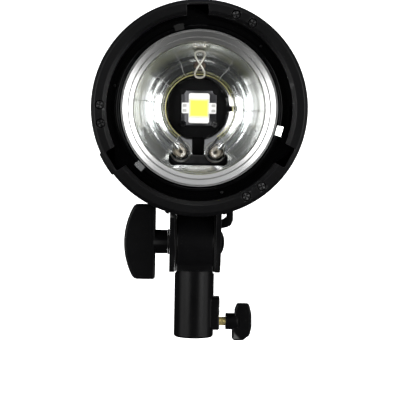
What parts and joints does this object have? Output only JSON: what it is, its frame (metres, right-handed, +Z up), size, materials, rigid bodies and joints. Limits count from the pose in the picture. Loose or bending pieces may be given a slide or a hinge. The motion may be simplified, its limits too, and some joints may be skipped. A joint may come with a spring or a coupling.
{
  "type": "monolight strobe",
  "caption": "Battery flash head with a round bayonet mount, ring-shaped flash tube, LED modelling lamp and a tilting stand adapter.",
  "frame": {"origin": "centre of the stand socket's mouth, at the bottom of the adapter", "axes": "+Z up along the stand socket towards the head, -Y the way the light shines, +X towards the adapter's lock screw"},
  "size_m": [0.125, 0.202, 0.208],
  "materials": {
    "black_plastic": "fine moulded grain",
    "gloss_black": "glossy",
    "anodised_black": "black anodised, satin",
    "cast_black": "black powder coat on a casting",
    "black_plate": "black powder coat on steel plate",
    "grip_black": "satin moulded grip",
    "polished": "polished",
    "steel": "plated",
    "brass": "turned",
    "tube_glass": "clear",
    "window": "tinted",
    "white_plastic": "white",
    "phosphor": "yellow silicone",
    "ceramic": "ceramic",
    "rubber": "soft",
    "board": "solder mask",
    "sleeve": "heat-shrink sleeve",
    "core": "laminated core"
  },
  "bodies": {
    "adapter": {"stand_socket": "cast_black", "thread_insert": "brass", "friction_washer_left": "rubber", "friction_washer_right": "rubber"},
    "head": {"mount_ring": "anodised_black", "mount_base": "gloss_black", "reflector": "polished", "lamp_plate": "anodised_black", "led_base": "polished", "led_frame": "white_plastic", "led_phosphor": "phosphor", "flash_tube": "tube_glass", "tube_clip": "steel", "tube_post": "ceramic", "tube_socket_left": "ceramic", "tube_socket_right": "ceramic", "upper_shell": "black_plastic", "lower_shell": "black_plastic", "rear_panel": "black_plastic", "display_window": "window", "display_module": "board", "dial_encoder": "steel", "sync_jack": "steel", "slave_sensor": "gloss_black", "main_board": "board", "capacitor_left": "sleeve", "capacitor_right": "sleeve", "charge_transformer": "core", "trigger_coil": "sleeve", "fan_frame": "black_plastic", "ring_screw_1": "black_plate", "ring_screw_2": "black_plate", "ring_screw_3": "black_plate", "ring_screw_4": "black_plate", "ring_screw_5": "black_plate", "ring_screw_6": "black_plate", "collar_spring_1": "steel", "collar_spring_2": "steel", "collar_spring_3": "steel"},
    "lock_screw": {"lock_screw": "brass"},
    "lock_knob": {"lock_knob": "grip_black"},
    "yoke": {"tilt_yoke": "black_plate", "tilt_bolt": "black_plate", "tilt_washer": "steel", "lever_screw": "steel"},
    "tilt_nut": {"tilt_insert": "brass"},
    "tilt_knob": {"tilt_knob": "grip_black"},
    "rail_lever": {"rail_lever": "black_plate"},
    "release_slider": {"release_slider": "black_plastic"},
    "lock_pin": {"lock_pin": "steel"},
    "fan": {"fan_rotor": "black_plastic"},
    "dial": {"dial_knob": "grip_black"},
    "button_mode": {"button_mode": "rubber"},
    "button_test": {"button_test": "rubber"},
    "button_lamp": {"button_lamp": "rubber"},
    "button_set": {"button_set": "rubber"},
    "power_switch": {"power_switch": "gloss_black"},
    "port_cover": {"port_cover": "rubber"},
    "battery": {"battery_pack": "black_plastic"},
    "battery_latch": {"battery_latch": "gloss_black"}
  },
  "joints": [
    {"name": "head_tilt", "type": "hinge", "parent": "adapter", "child": "yoke", "pos_m": [0, 0, 0.0596], "axis": [1, 0, 0], "range_deg": [-90, 85]},
    {"name": "body_slide", "type": "slide", "parent": "yoke", "child": "head", "axis": [0, 1, 0], "range_m": [-0.006, 0.006]},
    {"name": "tilt_nut_travel", "type": "slide", "parent": "yoke", "child": "tilt_nut", "axis": [1, 0, 0], "range_m": [-0.0025, 0]},
    {"name": "tilt_knob_turn", "type": "hinge", "parent": "tilt_nut", "child": "tilt_knob", "pos_m": [0, 0, 0.0596], "axis": [1, 0, 0], "range_deg": [-721, 0]},
    {"name": "rail_lever_swing", "type": "hinge", "parent": "yoke", "child": "rail_lever", "pos_m": [0, 0, 0.0726], "axis": [1, 0, 0], "range_deg": [-90, 0]},
    {"name": "lock_screw_travel", "type": "slide", "parent": "adapter", "child": "lock_screw", "axis": [1, 0, 0], "range_m": [-0.003, 0.002]},
    {"name": "lock_knob_turn", "type": "hinge", "parent": "lock_screw", "child": "lock_knob", "pos_m": [0, 0, 0.0099], "axis": [1, 0, 0], "range_deg": [-1081, 721]},
    {"name": "release_turn", "type": "hinge", "parent": "head", "child": "release_slider", "pos_m": [0, -0.067, 0.1436], "axis": [0, 1, 0], "range_deg": [0, 8.1]},
    {"name": "lock_pin_travel", "type": "slide", "parent": "head", "child": "lock_pin", "axis": [0, 1, 0], "range_m": [0, 0.0035], "stiffness_N_per_m": 300, "springref_m": -0.002},
    {"name": "fan_spin", "type": "hinge", "parent": "head", "child": "fan", "pos_m": [0, -0.024, 0.1436], "axis": [0, 1, 0], "continuous": true},
    {"name": "dial_turn", "type": "hinge", "parent": "head", "child": "dial", "pos_m": [0, 0.105, 0.1396], "axis": [0, 1, 0], "continuous": true},
    {"name": "button_mode_press", "type": "slide", "parent": "head", "child": "button_mode", "axis": [0, -1, 0], "range_m": [0, 0.0012], "stiffness_N_per_m": 500, "springref_m": -0.001},
    {"name": "button_test_press", "type": "slide", "parent": "head", "child": "button_test", "axis": [0, -1, 0], "range_m": [0, 0.0012], "stiffness_N_per_m": 500, "springref_m": -0.001},
    {"name": "button_lamp_press", "type": "slide", "parent": "head", "child": "button_lamp", "axis": [0, -1, 0], "range_m": [0, 0.0012], "stiffness_N_per_m": 500, "springref_m": -0.001},
    {"name": "button_set_press", "type": "slide", "parent": "head", "child": "button_set", "axis": [0, -1, 0], "range_m": [0, 0.0012], "stiffness_N_per_m": 500, "springref_m": -0.001},
    {"name": "power_switch_slide", "type": "slide", "parent": "head", "child": "power_switch", "axis": [1, 0, 0], "range_m": [0, 0.0038]},
    {"name": "port_cover_swing", "type": "hinge", "parent": "head", "child": "port_cover", "pos_m": [0.036, 0.103, 0.1717], "axis": [1, 0, 0], "range_deg": [0, 100]},
    {"name": "battery_slide", "type": "slide", "parent": "head", "child": "battery", "axis": [0, 1, 0], "range_m": [0, 0.095]},
    {"name": "battery_latch_press", "type": "slide", "parent": "battery", "child": "battery_latch", "axis": [0, -1, 0], "range_m": [0, 0.0025], "stiffness_N_per_m": 400, "springref_m": -0.002}
  ],
  "couplings": [
    {"joint": "tilt_knob_turn", "follows": "tilt_nut_travel", "rad_per_m": 5026.5},
    {"joint": "lock_knob_turn", "follows": "lock_screw_travel", "rad_per_m": 6283.2},
    {"joint": "release_turn", "follows": "lock_pin_travel", "rad_per_m": 39.893}
  ]
}
